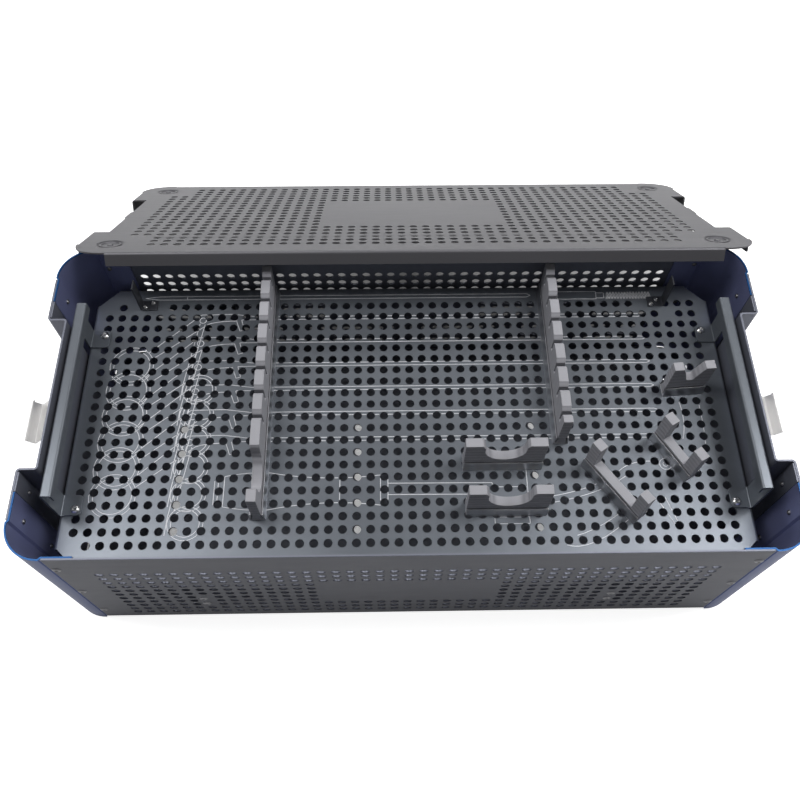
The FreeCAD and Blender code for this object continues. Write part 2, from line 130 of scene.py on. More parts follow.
# On caseSheet the inner-face tone is painted light and the bottom tone is painted shade
anodisedSettings = {
    "caseSheet": {"colour": (0.064, 0.068, 0.086), "inside": (0.175, 0.184, 0.225),
                  "bottom": (0.085, 0.090, 0.108), "bottomHeight": 3.0, "rough": 0.46, "metal": 0.55},
    "traySheet": {"colour": (0.160, 0.176, 0.200), "rough": 0.34, "metal": 0.60},
    "lidSheet": {"colour": (0.122, 0.121, 0.132), "rough": 0.40, "metal": 0.50},
    "clipSheet": {"colour": (0.070, 0.074, 0.086), "rough": 0.36, "metal": 0.60},
}


def onSkin(place, depth=0.4 * mm):
    # 1 on the outermost faces of the case's flat walls, 0 further in
    x = place.node("ShaderNodeSeparateXYZ", inputs={"Vector": place})
    end = abs(x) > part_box("right_end_wall")[1].x - depth
    side = abs(x.other("Y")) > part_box("base_pan")[1].y - depth
    return place.math("MAXIMUM", end, side)


def anodised(name):
    # Satin oxide skin: cloudy tint, fine etched grain and faint handling marks; on the case, the inner
    # faces carry painted light and the bottom painted shade
    s = anodisedSettings[name]
    material, place = startMaterial(name)
    cloud = noise(place, 9.0, 3.0)
    grain = noise(place, 2600.0, 1.0)
    rub = noise(stretched(place, 14.0, 90.0, 60.0), 3.0, 4.0, 0.6)
    mottle = cloud * 0.7 + grain * 0.3
    tint = blend(place, mottle, shade(s["colour"], 0.88), shade(s["colour"], 1.12))
    # Painted light and shade: the case's inner faces are painted paler than the outer ones, and its bottom
    # is painted darker
    if "inside" in s:  # paler than the outer faces, and the bottom darker
        height = place.node("ShaderNodeSeparateXYZ", inputs={"Vector": place}, out="Z")
        above = height > s["bottomHeight"] * mm
        paintedInnerTone = blend(place, above, shade(s["bottom"], 1.0), shade(s["inside"], 1.0))
        tint = blend(place, onSkin(place), paintedInnerTone, tint)
    rough = s["rough"] + (cloud - 0.5) * 0.10 + (rub - 0.5) * 0.08
    bump = place.node("ShaderNodeBump", inputs={"Height": grain, "Strength": 0.10, "Distance": 0.00006})
    finishMaterial(place, Base_Color=tint, Roughness=rough, Metallic=s["metal"], Normal=bump)
    return material


# In metres: the box that the corners are bent around, their radius, and the height of the rim
blueSettings = {"outside": (0.010, 0.034, 0.160), "inside": (0.200, 0.220, 0.400),
                "rim": (0.0, 0.058, 0.195), "rough": 0.38, "metal": 0.5,
                "straightX": 0.2395, "straightY": 0.0985, "radius": 0.0249, "rimHeight": 0.1493}


def blueSheet():
    # Blue oxide: deep outside, with painted light making the inside greyer and a painted highlight along
    # the cut rim
    s = blueSettings
    material, place = startMaterial("blueSheet")
    x = place.node("ShaderNodeSeparateXYZ", inputs={"Vector": place})
    y, z = x.other("Y"), x.other("Z")
    overX = (abs(x) - s["straightX"]).math("MAXIMUM", abs(x) - s["straightX"], 0.0)
    overY = (abs(y) - s["straightY"]).math("MAXIMUM", abs(y) - s["straightY"], 0.0)
    outside = (overX * overX + overY * overY) > s["radius"] ** 2
    cloud = noise(place, 9.0, 3.0)
    # Painted light: the inner faces get a paler painted tone, and the rim top a painted highlight
    paintedSideTone = blend(place, outside, shade(s["inside"], 1.0), shade(s["outside"], 1.0))
    tint = blend(place, z > s["rimHeight"], paintedSideTone, shade(s["rim"], 1.0))
    rough = s["rough"] + (cloud - 0.5) * 0.12
    finishMaterial(place, Base_Color=tint, Roughness=rough, Metallic=s["metal"])
    return material


padSettings = {"colour": (0.315, 0.315, 0.342), "rough": 0.56,
               "ribLow": 0.1150, "ribHigh": 0.1400, "ribPitch": 0.0046}


def padSilicone():
    # Matt moulded silicone with fine ribs along its sides; the ribs are bumped and also painted into the
    # colour as light and dark stripes (painted shading)
    s = padSettings
    material, place = startMaterial("padSilicone")
    height = place.node("ShaderNodeSeparateXYZ", inputs={"Vector": place}, out="Z")
    band = (height > s["ribLow"]) * (height < s["ribHigh"])
    rib = height.math("SINE", height * (2 * math.pi / s["ribPitch"]))
    cloud = noise(place, 24.0, 3.0)
    grain = noise(place, 1800.0, 2.0)
    # Painted shading: the ribs' light and dark stripes are painted into the colour as well as bumped
    mottle = cloud * 0.5 + rib * band * 0.25 + 0.25
    tint = blend(place, mottle, shade(s["colour"], 0.74), shade(s["colour"], 1.14))
    relief = rib * band * 0.5 + grain * 0.25
    bump = place.node("ShaderNodeBump", inputs={"Height": relief, "Strength": 0.55, "Distance": 0.0004})
    finishMaterial(place, Base_Color=tint, Roughness=s["rough"] + (cloud - 0.5) * 0.12, Normal=bump)
    return material


brushedSettings = {
    "railMetal": {"colour": (0.66, 0.66, 0.68), "rough": 0.30, "grain": (20.0, 20.0, 900.0)},
    "latchSteel": {"colour": (0.88, 0.87, 0.86), "rough": 0.36, "grain": (700.0, 14.0, 700.0),
                   "metal": 0.55},
    "rivetSteel": {"colour": (0.62, 0.62, 0.62), "rough": 0.26, "grain": (300.0, 300.0, 300.0)},
    "wallRivet": {"colour": (0.22, 0.22, 0.23), "rough": 0.42, "grain": (300.0, 300.0, 300.0)},
}


def brushed(name):
    # Bare metal with fine lines drawn out along one direction
    s = brushedSettings[name]
    material, place = startMaterial(name)
    lines = noise(stretched(place, *s["grain"]), 1.0, 4.0, 0.7)
    cloud = noise(place, 30.0, 2.0)
    tint = blend(place, lines, shade(s["colour"], 0.86), shade(s["colour"], 1.1))
    rough = s["rough"] + (lines - 0.5) * 0.16 + (cloud - 0.5) * 0.08
    bump = place.node("ShaderNodeBump", inputs={"Height": lines, "Strength": 0.12, "Distance": 0.00005})
    finishMaterial(place, Base_Color=tint, Roughness=rough, Metallic=s.get("metal", 1.0), Normal=bump)
    return material


materials = {name: anodised(name) for name in anodisedSettings}
materials.update({name: brushed(name) for name in brushedSettings})
materials["padSilicone"] = padSilicone()
materials["blueSheet"] = blueSheet()


def printedInk():
    # Pale printed line, a little worn
    material, place = startMaterial("printedInk")
    wear = noise(place, 220.0, 2.0)
    tint = blend(place, wear, (0.50, 0.51, 0.54, 1.0), (0.78, 0.79, 0.82, 1.0))
    finishMaterial(place, Base_Color=tint, Roughness=0.5 + (wear - 0.5) * 0.1)
    return material


materials["printedInk"] = printedInk()
finishOf = {"case_sheet": "caseSheet", "tray_sheet": "traySheet", "lid_sheet": "lidSheet",
            "blue_corner": "blueSheet", "grey_pad": "padSilicone", "rail_metal": "railMetal",
            "latch_steel": "latchSteel", "rivet_steel": "rivetSteel"}
print("materials:", len(materials))


# Mesh helpers
def addObject(name, mesh):
    made = bpy.data.objects.new(name, mesh)
    bpy.context.scene.collection.objects.link(made)
    return made


def asPlain(made, name):
    # The evaluated shape as a mesh of its own, with the modifiers gone
    graph = bpy.context.evaluated_depsgraph_get()
    mesh = bpy.data.meshes.new_from_object(made.evaluated_get(graph), preserve_all_data_layers=True,
                                           depsgraph=graph)
    bpy.data.objects.remove(made)
    mesh.name = name
    return addObject(name, mesh)


def copyOfNode(node):
    # The CAD node with its loose triangles merged into clean faces
    work = bmesh.new()
    work.from_mesh(nodes[node].data)
    bmesh.ops.remove_doubles(work, verts=work.verts, dist=0.002 * mm)
    bmesh.ops.dissolve_limit(work, angle_limit=math.radians(0.5), verts=work.verts, edges=work.edges)
    mesh = bpy.data.meshes.new(node)
    work.to_mesh(mesh)
    work.free()
    return addObject("copy", mesh)


def joined(name, parts):
    work = bmesh.new()
    for part in parts:
        part.data.transform(part.matrix_world)
        work.from_mesh(part.data)
        bpy.data.objects.remove(part)
    mesh = bpy.data.meshes.new(name)
    work.to_mesh(mesh)
    work.free()
    return addObject(name, mesh)


def shaded(made, name, material):
    # Smooth over bends, sharp at edges, with large flat faces kept flat
    for face in made.data.polygons:
        face.use_smooth = True
    made.data.set_sharp_from_angle(angle=math.radians(32))
    made.data.materials.clear()
    made.data.materials.append(materials[material])
    weighted = made.modifiers.new("weighted", "WEIGHTED_NORMAL")
    weighted.keep_sharp = True
    return asPlain(made, name)


def rounded(made, width, segments=2):
    bevel = made.modifiers.new("bevel", "BEVEL")
    bevel.width = width
    bevel.segments = segments
    bevel.limit_method = "ANGLE"
    bevel.angle_limit = math.radians(40)
    bevel.use_clamp_overlap = True
    return asPlain(made, made.name)


def withoutBox(made, low, high):
    # Cut a box out of a sheet, so that a perforated panel can take its place
    work = bmesh.new()
    bmesh.ops.create_cube(work, size=1.0)
    for v in work.verts:
        v.co = Vector([low[i] + (v.co[i] + 0.5) * (high[i] - low[i]) for i in range(3)])
    mesh = bpy.data.meshes.new("cutter")
    work.to_mesh(mesh)
    work.free()
    cutter = addObject("cutter", mesh)
    cut = made.modifiers.new("cut", "BOOLEAN")
    cut.operation = "DIFFERENCE"
    cut.solver = "EXACT"
    cut.object = cutter
    made = asPlain(made, made.name)
    bpy.data.objects.remove(cutter)
    return made


def setInputs(modifier, values):
    for item in modifier.node_group.interface.items_tree:
        if item.item_type == "SOCKET" and item.in_out == "INPUT" and item.name in values:
            modifier[item.identifier] = values[item.name]


def startTree(name, sockets):
    # A Geometry Nodes tree with named inputs; gives a wire for each of them
    tree = bpy.data.node_groups.new(name, "GeometryNodeTree")
    tree.interface.new_socket("Geometry", in_out="OUTPUT", socket_type="NodeSocketGeometry")
    tree.interface.new_socket("Geometry", in_out="INPUT", socket_type="NodeSocketGeometry")
    for label, kind in sockets:
        tree.interface.new_socket(label, in_out="INPUT", socket_type="NodeSocket" + kind)
    first = Wire(tree, None).node("NodeGroupInput")
    return tree, first


def finishTree(first, geometry, material):
    real = first.node("GeometryNodeRealizeInstances", inputs={"Geometry": geometry})
    done = first.node("GeometryNodeSetMaterial", inputs={"Geometry": real, "Material": material})
    first.node("NodeGroupOutput", inputs={"Geometry": done})


def perforationTree():
    # A flat sheet with a grid of round holes; the modified mesh's points keep holes away from them
    tree, first = startTree("perforatedSheet", [
        ("Columns", "Int"), ("Rows", "Int"), ("Pitch X", "Float"), ("Pitch Y", "Float"),
        ("Shift X", "Float"), ("Shift Y", "Float"), ("Hole Radius", "Float"),
        ("Hole Sides", "Int"), ("Width", "Float"), ("Depth", "Float"), ("Thickness", "Float"),
        ("Blank Half Width", "Float"), ("Blank Half Depth", "Float"), ("Corner Width", "Float"),
        ("Corner Depth", "Float"), ("Keep Clear", "Float"), ("Material", "Material")])
    one = first.other
    grid = first.node("GeometryNodeMeshGrid", inputs={
        "Size X": (one("Columns") - 1.0) * one("Pitch X"), "Size Y": (one("Rows") - 1.0) * one("Pitch Y"),
        "Vertices X": one("Columns"), "Vertices Y": one("Rows")})
    shift = first.node("ShaderNodeCombineXYZ", inputs={"X": one("Shift X"), "Y": one("Shift Y")})
    grid = first.node("GeometryNodeSetPosition", inputs={"Geometry": grid, "Offset": shift})
    place = first.node("GeometryNodeInputPosition")
    x = place.node("ShaderNodeSeparateXYZ", inputs={"Vector": place})
    y = x.other("Y")
    near = first.node("GeometryNodeProximity", {"target_element": "POINTS"},
                      {"Geometry": one("Geometry"), "Sample Position": place}, out="Distance")
    blank = (abs(x) < one("Blank Half Width")) * (abs(y) < one("Blank Half Depth"))
    corner = (abs(x) > one("Corner Width")) * (abs(y) > one("Corner Depth"))
    clear = near > one("Keep Clear")
    keep = (1.0 - blank) * (1.0 - corner) * clear
    hole = first.node("GeometryNodeCurvePrimitiveCircle", {"mode": "RADIUS"},
                      {"Resolution": one("Hole Sides"), "Radius": one("Hole Radius")})
    holes = first.node("GeometryNodeInstanceOnPoints", inputs={
        "Points": grid, "Selection": keep, "Instance": hole})
    outline = first.node("GeometryNodeCurvePrimitiveQuadrilateral", {"mode": "RECTANGLE"},
                         {"Width": one("Width"), "Height": one("Depth")})
    curves = first.node("GeometryNodeJoinGeometry", inputs={"Geometry": [
        first.node("GeometryNodeRealizeInstances", inputs={"Geometry": holes}), outline]})
    face = first.node("GeometryNodeFillCurve", {"mode": "TRIANGLES"}, {"Curve": curves})
    under = first.node("GeometryNodeFlipFaces", inputs={"Mesh": face})
    upper = first.node("GeometryNodeExtrudeMesh", {"mode": "FACES"}, {
        "Mesh": face, "Offset Scale": one("Thickness"), "Individual": False})
    both = first.node("GeometryNodeJoinGeometry", inputs={"Geometry": [upper, under]})
    sheet = first.node("GeometryNodeMergeByDistance", inputs={"Geometry": both, "Distance": 0.001 * mm})
    finishTree(first, sheet, one("Material"))
    return tree


perforated = perforationTree()


def panel(settings, material, matrix, clear=()):
    # One perforated sheet, its lower face on the matrix's own plane
    mesh = bpy.data.meshes.new("points")
    mesh.from_pydata([Vector(p).to_3d() * mm for p in clear] or [(9, 9, 9)], [], [])
    made = addObject("panel", mesh)
    modifier = made.modifiers.new("holes", "NODES")
    modifier.node_group = perforated
    values = {k: v * mm if isinstance(v, float) else v for k, v in settings.items()}
    values["Material"] = materials[material]
    setInputs(modifier, values)
    made = asPlain(made, "panel")
    made.matrix_world = matrix
    return made


def standFor(made, *names, body=None, slot=None):
    # Hand a finished piece to the frame
    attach(made, body or bodyOf[names[0]])
    if names:
        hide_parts(*names)


holeGrid = {"Pitch X": 10.0, "Pitch Y": 10.0, "Shift X": 0.0, "Shift Y": 0.0, "Hole Radius": 3.25,
            "Hole Sides": 16, "Keep Clear": 4.0, "Blank Half Width": 0.0, "Blank Half Depth": 0.0,
            "Corner Width": 900.0, "Corner Depth": 900.0}


# Base pan: perforated front, rear and bottom
panSettings = {
    "sheet": 1.5, "wallWidth": 436.0, "wallHeight": 110.0, "wallMiddle": 66.0,
    "supportRivets": [(x, z) for x in (-152.0, 152.0) for z in (52.0, 38.0)],
    "bottomWidth": 472.0, "bottomDepth": 212.0, "drainPitchX": 154.0, "drainPitchY": 23.7,
    "drainShiftX": -39.0, "drainShiftY": -6.5, "drainRadius": 4.2, "drainColumns": 3, "drainRows": 5,
}


def basePan():
    s = panSettings
    low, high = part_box("base_pan")
    sheet = s["sheet"] * mm
    shell = rounded(copyOfNode("base_pan"), 0.25 * mm)
    half, mid = s["wallWidth"] / 2 * mm, s["wallMiddle"] * mm
    rise = s["wallHeight"] / 2 * mm
    walls = {**holeGrid, "Columns": 43, "Rows": 11, "Width": s["wallWidth"], "Depth": s["wallHeight"],
             "Thickness": s["sheet"], "Blank Half Width": 65.0, "Blank Half Depth": 25.0, "Keep Clear": 6.5}
    floor = {**holeGrid, "Columns": s["drainColumns"], "Rows": s["drainRows"], "Width": s["bottomWidth"],
             "Depth": s["bottomDepth"], "Pitch X": s["drainPitchX"], "Pitch Y": s["drainPitchY"],
             "Shift X": s["drainShiftX"], "Shift Y": s["drainShiftY"],
             "Hole Radius": s["drainRadius"], "Thickness": s["sheet"]}
    clear = [(x, z - s["wallMiddle"], 0.0) for x, z in s["supportRivets"]]
    parts = []
    for y, turn in ((low.y, 90.0), (high.y, -90.0)):
        edge = y - 1 * mm if turn > 0 else y - sheet - 1 * mm
        shell = withoutBox(shell, (-half, edge, mid - rise), (half, edge + sheet + 2 * mm, mid + rise))
        inner = y + sheet if turn > 0 else y - sheet
        seen = clear if turn > 0 else [(x, -z, 0.0) for x, z, _ in clear]
        parts.append(panel(walls, "caseSheet", Matrix.Translation((0, inner, mid))
                           @ Matrix.Rotation(math.radians(turn), 4, "X"), seen))
    halfX, halfY = s["bottomWidth"] / 2 * mm, s["bottomDepth"] / 2 * mm
    shell = withoutBox(shell, (-halfX, -halfY, -1 * mm), (halfX, halfY, sheet + 1 * mm))
    parts.append(panel(floor, "caseSheet", Matrix.Identity(4)))
    made = shaded(joined("basePan", [shell] + parts), "basePan", "caseSheet")
    standFor(made, "base_pan")


basePan()
print("base pan done")


# Tray floor: perforated, with a lip on each side
traySettings = {"sheet": 1.5, "width": 484.0, "depth": 210.0, "columns": 48, "rows": 21, "shift": -1.5,
                "noHole": [(-235, -100), (-235, 100), (-215, 100), (-205, 100), (-195, 100), (195, 100),
                           (205, 100), (215, 90)]}


def trayFloor():
    s = traySettings
    top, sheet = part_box("tray_floor")[1].z, s["sheet"] * mm
    shell = rounded(copyOfNode("tray_floor"), 0.25 * mm)
    halfX, halfY = s["width"] / 2 * mm, s["depth"] / 2 * mm
    shell = withoutBox(shell, (-halfX, -halfY, top - sheet - mm), (halfX, halfY, top + mm))
    holes = {**holeGrid, "Columns": s["columns"], "Rows": s["rows"], "Width": s["width"],
             "Depth": s["depth"], "Shift X": s["shift"], "Thickness": s["sheet"]}
    plate = panel(holes, "traySheet", Matrix.Translation((0, 0, top - sheet)),
                  [(x + s["shift"], y, 0.0) for x, y in s["noHole"]])
    made = shaded(joined("trayFloor", [shell, plate]), "trayFloor", "traySheet")
    standFor(made, "tray_floor")


trayFloor()
print("tray floor done")


# Lid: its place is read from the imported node's own corners
lidSettings = {"sheet": 1.2, "panelSheet": 0.8, "pitch": 10.4, "shift": 1.9, "columns": 45,
               "fullRows": 15, "edgeColumns": 41, "edgeRows": 3,
               "fullWidth": 466.0, "fullDepth": 166.0, "edgeWidth": 444.0, "edgeDepth": 31.0,
               "blankHalfWidth": 75.0, "blankHalfDepth": 45.0, "dimple": (240.6, 99.6)}


def lidMatrix():
    # The lid's top plane from its mesh: its largest flat face gives the tilt
    faces = max(nodes["lid"].data.polygons, key=lambda f: f.area)
    normal = faces.normal.copy()
    if normal.z < 0:
        normal.negate()
    across = Vector((1, 0, 0))
    along = normal.cross(across)
    top = max(v.co.dot(normal) for v in nodes["lid"].data.vertices)
    low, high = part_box("lid")
    reach = [v.co.dot(along) for v in nodes["lid"].data.vertices]
    middle = across * ((low.x + high.x) / 2) + along * ((min(reach) + max(reach)) / 2) + normal * top
    turn = Matrix((across, along, normal)).transposed().to_4x4()
    return Matrix.Translation(middle) @ turn


def lathe(name, profile, sides):
    # A round piece from (radius, height) pairs that end on the axis
    work = bmesh.new()
    turns = [2 * math.pi * i / sides for i in range(sides)]
    rings = [[work.verts.new((r * math.cos(a), r * math.sin(a), h)) for a in turns]
             for r, h in profile[:-1]]
    tip = work.verts.new((0, 0, profile[-1][1]))
    for i in range(sides):
        j = (i + 1) % sides
        for lower, upper in zip(rings, rings[1:]):
            work.faces.new((lower[i], lower[j], upper[j], upper[i]))
        work.faces.new((rings[-1][i], rings[-1][j], tip))
    work.faces.new(list(reversed(rings[0])))
    mesh = bpy.data.meshes.new(name)
    work.to_mesh(mesh)
    work.free()
    return addObject(name, mesh)


# A washer and stud inside each corner dimple of the lid
footProfile = [(8.6, -1.6), (8.6, -0.35), (8.0, -0.15), (7.2, -0.15), (6.8, -0.9), (2.4, -1.0), (2.2, -0.2),
               (1.6, -0.1), (0.0, -0.1)]


def lid():
    s = lidSettings
    place = lidMatrix()
    flat = copyOfNode("lid")
    flat.data.transform(place.inverted())
    flat = rounded(flat, 0.22 * mm)
    sheet, pitch = s["sheet"] * mm, s["pitch"]
    fullX, fullY = s["fullWidth"] / 2 * mm, s["fullDepth"] / 2 * mm
    edgeX, edgeY = s["edgeWidth"] / 2 * mm, s["edgeDepth"] * mm
    holes = {**holeGrid, "Pitch X": pitch, "Pitch Y": pitch, "Thickness": s["panelSheet"]}
    level = Matrix.Translation((0, 0, -s["panelSheet"] * mm))
    full = {**holes, "Columns": s["columns"], "Rows": s["fullRows"], "Width": s["fullWidth"],
            "Depth": s["fullDepth"], "Shift Y": s["shift"],
            "Blank Half Width": s["blankHalfWidth"], "Blank Half Depth": s["blankHalfDepth"]}
    # The full rows lie between the dimples; the outer rows are shorter
    flat = withoutBox(flat, (-fullX, -fullY, -sheet - mm), (fullX, fullY, mm))
    parts = [flat, panel(full, "lidSheet", level)]
    for side in (-1, 1):
        near, far = sorted((side * fullY, side * (fullY + edgeY)))
        flat = withoutBox(parts[0], (-edgeX, near, -sheet - mm), (edgeX, far, mm))
        middle = side * (s["fullDepth"] + s["edgeDepth"]) / 2
        rowAt = side * (s["fullRows"] + s["edgeRows"]) / 2 * pitch + s["shift"]
        edge = {**holes, "Columns": s["edgeColumns"], "Rows": s["edgeRows"], "Width": s["edgeWidth"],
                "Depth": s["edgeDepth"], "Shift Y": rowAt - middle}
        strip = panel(edge, "lidSheet", level @ Matrix.Translation((0, middle * mm, 0)))
        parts = [flat] + parts[1:] + [strip]
    x, y = s["dimple"]
    for sx, sy in ((1, 1), (1, -1), (-1, 1), (-1, -1)):
        foot = lathe("foot", [(r * mm, h * mm) for r, h in footProfile], 32)
        foot.matrix_world = Matrix.Translation((sx * x * mm, sy * y * mm, 0))
        parts.append(foot)
    made = joined("lid", parts)
    made.data.transform(place)
    standFor(shaded(made, "lidPlate", "lidSheet"), "lid")


lid()
print("lid done")


# Every other node: its own shape with softened edges
edgeSettings = {"corner": 0.22, "end_wall": 0.25, "handle": 0.28, "latch": 0.22, "leaf": 0.2, "pad": 0.35,
                "rail": 0.15, "clip": 0.2, "support": 0.2, "stiffener": 0.2, "pin": 0.15}


def dressRest():
    done = {"base_pan", "tray_floor", "lid"}
    for node in sorted(set(nodes) - done):
        kind = next(k for k in edgeSettings if node.endswith(k))
        made = rounded(copyOfNode(node), edgeSettings[kind] * mm)
        words = node.split("_")
        name = words[0] + "".join(w.capitalize() for w in words[1:])
        finish = "clipSheet" if kind == "clip" else finishOf[slotOf[node]]
        standFor(shaded(made, name, finish), node)


dressRest()
print("other pieces done")


# Rivets: a domed head with a hollow middle, set on points that face one way
headProfile = [(1.0, 0.0), (1.0, 0.22), (0.86, 0.62), (0.58, 1.0), (0.42, 0.98), (0.34, 0.52), (0.0, 0.50)]


def rivetTree():
    tree, first = startTree("rivetRow", [("Head", "Object"), ("Head Radius", "Float"),
                                         ("Head Height", "Float"), ("Outward", "Vector"),
                                         ("Material", "Material")])
    one = first.other
    turn = first.node("FunctionNodeAlignRotationToVector", {"axis": "Z"}, {"Vector": one("Outward")})
    size = first.node("ShaderNodeCombineXYZ", inputs={
        "X": one("Head Radius"), "Y": one("Head Radius"), "Z": one("Head Height")})
    head = first.node("GeometryNodeObjectInfo", inputs={"Object": one("Head")}, out="Geometry")
    rivets = first.node("GeometryNodeInstanceOnPoints", inputs={
        "Points": one("Geometry"), "Instance": head, "Rotation": turn, "Scale": size})
    finishTree(first, rivets, one("Material"))
    return tree


rivetSettings = {
    "wall": {"radius": 3.1, "height": 0.8},
    "tail": {"radius": 1.9, "height": 1.3},
    "foot": {"radius": 3.3, "height": 1.5},
    "clip": {"radius": 2.0, "height": 1.2},
    "lapHeights": (24.0, 76.0, 129.0), "stiffenerHeights": (24.0, 129.0), "supportHeights": (38.0, 52.0),
    "frontLap": 234.0, "endLap": 90.0, "stiffener": 69.0, "support": 152.0,
    "handleFoot": (237.5, 72.8), "leafSpread": 11.0, "leafHeight": 106.0,
    "clipRivets": [(-209.0, 99.7), (-203.0, 103.8), (201.7, 98.6), (206.5, 102.9)],
    "panSheet": 1.5, "handleSheet": 1.5, "thinSheet": 1.2,
}
rivetNodes = rivetTree()
headShape = lathe("rivetHead", headProfile, 16)


def rivetSet(name, points, outward, kind):
    s = rivetSettings[kind]
    mesh = bpy.data.meshes.new(name)
    mesh.from_pydata(points, [], [])
    made = addObject(name, mesh)
    modifier = made.modifiers.new("rivets", "NODES")
    modifier.node_group = rivetNodes
    setInputs(modifier, {
        "Head": headShape, "Head Radius": s["radius"] * mm, "Head Height": s["height"] * mm,
        "Outward": outward, "Material": materials["rivetSteel"]})
    return asPlain(made, name)


def rivets():
    s = rivetSettings
    panLow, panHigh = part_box("base_pan")
    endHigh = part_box("right_end_wall")[1]
    lap = (s["panSheet"] + s["thinSheet"]) * mm  # the wall and what lies behind it
    case = []
    for side, name in ((-1, "front"), (1, "rear")):
        face = (panLow if side < 0 else panHigh).y
        spots = [(sx * s["frontLap"] * mm, z * mm) for sx in (-1, 1) for z in s["lapHeights"]]
        spots += [(sx * s["support"] * mm, z * mm) for sx in (-1, 1) for z in s["supportHeights"]]
        case.append(rivetSet(name, [(x, face, z) for x, z in spots], (0, side, 0), "wall"))
        back = face - side * lap
        case.append(rivetSet(name, [(x, back, z) for x, z in spots], (0, -side, 0), "tail"))
    for side in (-1, 1):
        spots = [(sy * s["endLap"] * mm, z * mm) for sy in (-1, 1) for z in s["lapHeights"]]
        spots += [(sy * s["stiffener"] * mm, z * mm) for sy in (-1, 1) for z in s["stiffenerHeights"]]
        face = side * endHigh.x
        case.append(rivetSet("end", [(face, y, z) for y, z in spots], (side, 0, 0), "wall"))
        back = face - side * lap
        case.append(rivetSet("end", [(back, y, z) for y, z in spots], (-side, 0, 0), "tail"))
        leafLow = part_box("right_leaf")[0]
        leafFace = side * (leafLow.x + s["thinSheet"] * mm)
        spots = [(leafFace, sy * s["leafSpread"] * mm, s["leafHeight"] * mm) for sy in (-1, 1)]
        case.append(rivetSet("leaf", spots, (side, 0, 0), "clip"))
    made = shaded(joined("caseRivets", case), "caseRivets", "wallRivet")
    standFor(made, body="case", slot="rivet_steel")
    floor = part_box("tray_floor")[1].z
    x, y = s["handleFoot"]
    foot, clip = floor + s["handleSheet"] * mm, floor + s["thinSheet"] * mm
    feet = [(sx * x * mm, sy * y * mm, foot) for sx in (-1, 1) for sy in (-1, 1)]
    clips = [(x * mm, y * mm, clip) for x, y in s["clipRivets"]]
    tray = [rivetSet("feet", feet, (0, 0, 1), "foot"), rivetSet("clips", clips, (0, 0, 1), "clip")]
    made = shaded(joined("trayRivets", tray), "trayRivets", "rivetSteel")
    standFor(made, body="tray", slot="rivet_steel")


rivets()
bpy.data.objects.remove(headShape)
print("rivets done")


# Outlines printed on the tray: thin raised lines that stop at the holes
printSettings = {"width": 0.55, "height": 0.04, "step": 0.7, "pieces": 6, "firstY": 88.9,
                 "pitch": 21.6, "lastRow": 100.0, "holeMargin": 0.1,
                 "rod": {"y": (110.6, 107.4), "x": (-198.0, 101.0)}, "springFrom": 166.0, "springTo": 202.0}


def printTree():
    tree, first = startTree("printedLines", [
        ("Line Width", "Float"), ("Line Height", "Float"), ("Step", "Float"), ("Hole Pitch", "Float"),
        ("Hole Radius", "Float"), ("Shift X", "Float"), ("Last Row", "Float"), ("Material", "Material")])
    one = first.other
    curve = first.node("GeometryNodeMeshToCurve", inputs={"Mesh": one("Geometry")})
    curve = first.node("GeometryNodeResampleCurve", {"mode": "LENGTH"},
                       {"Curve": curve, "Length": one("Step")})
    curve = first.node("GeometryNodeSetCurveNormal", {"mode": "Z_UP"}, {"Curve": curve})
    profile = first.node("GeometryNodeCurvePrimitiveQuadrilateral", {"mode": "RECTANGLE"},
                         {"Width": one("Line Width"), "Height": one("Line Height")})
    line = first.node("GeometryNodeCurveToMesh", inputs={
        "Curve": curve, "Profile Curve": profile, "Fill Caps": True})
    place = first.node("GeometryNodeInputPosition")
    x = place.node("ShaderNodeSeparateXYZ", inputs={"Vector": place})
    across = (x - one("Shift X")) / one("Hole Pitch") + 0.5
    along = x.other("Y") / one("Hole Pitch")
    offX, offY = across - across.math("ROUND", across), along - along.math("ROUND", along)
    reach = one("Hole Radius") / one("Hole Pitch")
    rows = abs(x.other("Y")) < one("Last Row") + one("Hole Radius")
    hole = ((offX * offX + offY * offY) < reach * reach) * rows
    cut = first.node("GeometryNodeDeleteGeometry", {"domain": "FACE"},
                     {"Geometry": line, "Selection": hole})
    finishTree(first, cut, one("Material"))
    return tree


def ring(x, y, radius, sides=36):
    turns = [2 * math.pi * i / sides for i in range(sides + 1)]
    return [(x + radius * math.cos(a), y + radius * math.sin(a)) for a in turns]


def bow(start, pull, end, steps=12):
    # A smooth bend from start to end, drawn toward a third point
    places = [i / steps for i in range(steps + 1)]
    return [tuple((1 - t) ** 2 * a + 2 * t * (1 - t) * b + t * t * c for a, b, c in zip(start, pull, end))
            for t in places]


def graspingTool(y):
    # Ring-handled grasper: two finger rings, their shanks, a pivot and a long shaft
    drawn = [
        ring(-213.0, y - 43.6, 14.0), ring(-213.0, y - 43.6, 16.8),
        ring(-158.5, y - 65.0, 10.2), ring(-158.5, y - 65.0, 12.8), ring(-161.3, y - 1.8, 2.6, 16),
        [(-201.3, y - 31.8), (-163.0, y + 3.6), (-137.0, y + 4.0), (-118.0, y + 1.4), (190.0, y + 1.4)],
        [(-197.4, y - 37.2), (-157.0, y - 5.4)],
        bow((-157.0, y - 5.4), (-150.0, y - 2.6), (-135.0, y - 2.4)),
        [(-134.6, y - 2.0), (-131.0, y - 12.0), (-127.6, y - 11.0), (-130.4, y - 1.4), (190.0, y - 1.4),
         (193.0, y), (190.0, y + 1.4)],
        [(-159.4, y - 5.6), (-167.4, y - 56.0)],
        [(-163.4, y - 4.6), (-171.4, y - 60.0), (-172.4, y - 74.0)],
    ]
    return drawn


